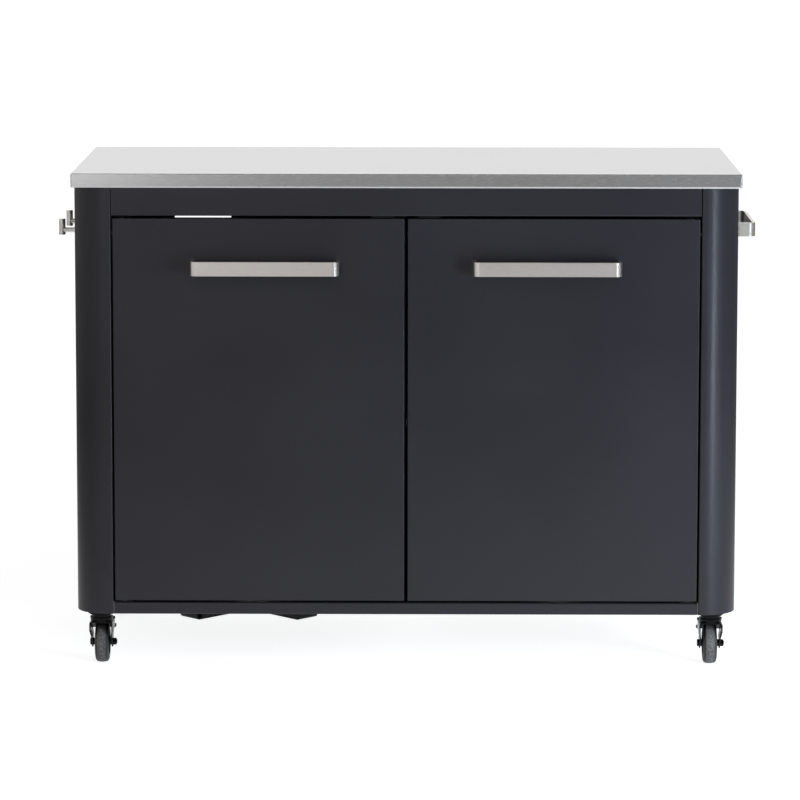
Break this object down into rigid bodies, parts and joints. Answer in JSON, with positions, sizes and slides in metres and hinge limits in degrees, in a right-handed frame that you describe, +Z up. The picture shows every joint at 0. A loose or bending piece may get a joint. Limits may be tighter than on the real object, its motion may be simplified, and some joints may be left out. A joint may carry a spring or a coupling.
{
  "type": "grill cart with storage",
  "caption": "Wheeled outdoor cabinet with a steel worktop, hinged doors with bar handles, a side handle, tool hooks, a gas-bottle cradle and swivel casters with brakes.",
  "frame": {"origin": "on the floor, under the middle of the whole object", "axes": "+X to the right as seen from the front, +Y to the back, +Z up; the doors face -Y"},
  "size_m": [1.2756, 0.5756, 0.905],
  "materials": {
    "worktop_steel": "fine brushed stainless steel",
    "handle_steel": "brushed stainless steel",
    "cabinet_paint": "satin anthracite powder coat",
    "black_paint": "gloss black coat",
    "galvanised_steel": "dull zinc-coated sheet",
    "zinc_fasteners": "bright zinc plate",
    "magnet_steel": "ground plate",
    "black_plastic": "fine texture",
    "hub_plastic": "moulded",
    "tyre_rubber": "matte, solid tread"
  },
  "bodies": {
    "cabinet": {"worktop": "worktop_steel", "worktop_stiffeners": "galvanised_steel", "worktop_fixings": "zinc_fasteners", "left_side_panel": "cabinet_paint", "right_side_panel": "cabinet_paint", "back_panel": "cabinet_paint", "upper_back_panel": "cabinet_paint", "front_rail": "cabinet_paint", "rear_rail": "galvanised_steel", "divider_panel": "cabinet_paint", "base_tray": "cabinet_paint", "base_channels": "galvanised_steel", "bottle_cradle": "black_paint", "cradle_bolts": "black_paint", "shelf": "cabinet_paint", "shelf_rails": "galvanised_steel", "panel_screws": "zinc_fasteners", "hinge_brackets": "black_paint", "hinge_pins": "black_paint", "door_catches": "black_plastic", "catch_magnets": "magnet_steel", "side_handle": "handle_steel", "tool_hooks": "handle_steel", "side_panel_screws": "zinc_fasteners", "caster_plates": "black_paint", "caster_bolts": "black_paint", "caster_kingpins": "black_paint", "swivel_bearings": "black_paint"},
    "left_door": {"left_door_skin": "cabinet_paint", "left_door_liner": "cabinet_paint", "left_door_handle": "handle_steel", "left_handle_screws": "zinc_fasteners", "left_catch_strike": "zinc_fasteners", "left_hinge_bushes": "black_plastic"},
    "right_door": {"right_door_skin": "cabinet_paint", "right_door_liner": "cabinet_paint", "right_door_handle": "handle_steel", "right_handle_screws": "zinc_fasteners", "right_catch_strike": "zinc_fasteners", "right_hinge_bushes": "black_plastic"},
    "front_left_swivel": {"front_left_fork": "black_paint", "front_left_axle": "black_paint", "front_left_pedal_pin": "black_paint"},
    "front_left_wheel": {"front_left_tyre": "tyre_rubber", "front_left_hub": "hub_plastic"},
    "front_left_pedal": {"front_left_pedal": "black_plastic"},
    "front_right_swivel": {"front_right_fork": "black_paint", "front_right_axle": "black_paint", "front_right_pedal_pin": "black_paint"},
    "front_right_wheel": {"front_right_tyre": "tyre_rubber", "front_right_hub": "hub_plastic"},
    "front_right_pedal": {"front_right_pedal": "black_plastic"},
    "rear_left_swivel": {"rear_left_fork": "black_paint", "rear_left_axle": "black_paint"},
    "rear_left_wheel": {"rear_left_tyre": "tyre_rubber", "rear_left_hub": "hub_plastic"},
    "rear_right_swivel": {"rear_right_fork": "black_paint", "rear_right_axle": "black_paint"},
    "rear_right_wheel": {"rear_right_tyre": "tyre_rubber", "rear_right_hub": "hub_plastic"}
  },
  "joints": [
    {"name": "left_door_hinge", "type": "hinge", "parent": "cabinet", "child": "left_door", "pos_m": [-0.51, -0.24025, 0.476], "axis": [0, 0, -1], "range_deg": [0, 110]},
    {"name": "right_door_hinge", "type": "hinge", "parent": "cabinet", "child": "right_door", "pos_m": [0.51, -0.24025, 0.476], "axis": [0, 0, 1], "range_deg": [0, 110]},
    {"name": "front_left_swivel_turn", "type": "hinge", "parent": "cabinet", "child": "front_left_swivel", "pos_m": [-0.555, -0.19775, 0.085], "axis": [0, 0, 1], "continuous": true},
    {"name": "front_left_wheel_roll", "type": "hinge", "parent": "front_left_swivel", "child": "front_left_wheel", "pos_m": [-0.555, -0.17775, 0.0375], "axis": [1, 0, 0], "continuous": true},
    {"name": "front_left_pedal_lift", "type": "hinge", "parent": "front_left_swivel", "child": "front_left_pedal", "pos_m": [-0.555, -0.16775, 0.08], "axis": [1, 0, 0], "range_deg": [0, 18]},
    {"name": "front_right_swivel_turn", "type": "hinge", "parent": "cabinet", "child": "front_right_swivel", "pos_m": [0.555, -0.19775, 0.085], "axis": [0, 0, 1], "continuous": true},
    {"name": "front_right_wheel_roll", "type": "hinge", "parent": "front_right_swivel", "child": "front_right_wheel", "pos_m": [0.555, -0.17775, 0.0375], "axis": [1, 0, 0], "continuous": true},
    {"name": "front_right_pedal_lift", "type": "hinge", "parent": "front_right_swivel", "child": "front_right_pedal", "pos_m": [0.555, -0.16775, 0.08], "axis": [1, 0, 0], "range_deg": [0, 18]},
    {"name": "rear_left_swivel_turn", "type": "hinge", "parent": "cabinet", "child": "rear_left_swivel", "pos_m": [-0.555, 0.22775, 0.085], "axis": [0, 0, 1], "continuous": true},
    {"name": "rear_left_wheel_roll", "type": "hinge", "parent": "rear_left_swivel", "child": "rear_left_wheel", "pos_m": [-0.555, 0.24775, 0.0375], "axis": [1, 0, 0], "continuous": true},
    {"name": "rear_right_swivel_turn", "type": "hinge", "parent": "cabinet", "child": "rear_right_swivel", "pos_m": [0.555, 0.22775, 0.085], "axis": [0, 0, 1], "continuous": true},
    {"name": "rear_right_wheel_roll", "type": "hinge", "parent": "rear_right_swivel", "child": "rear_right_wheel", "pos_m": [0.555, 0.24775, 0.0375], "axis": [1, 0, 0], "continuous": true}
  ]
}
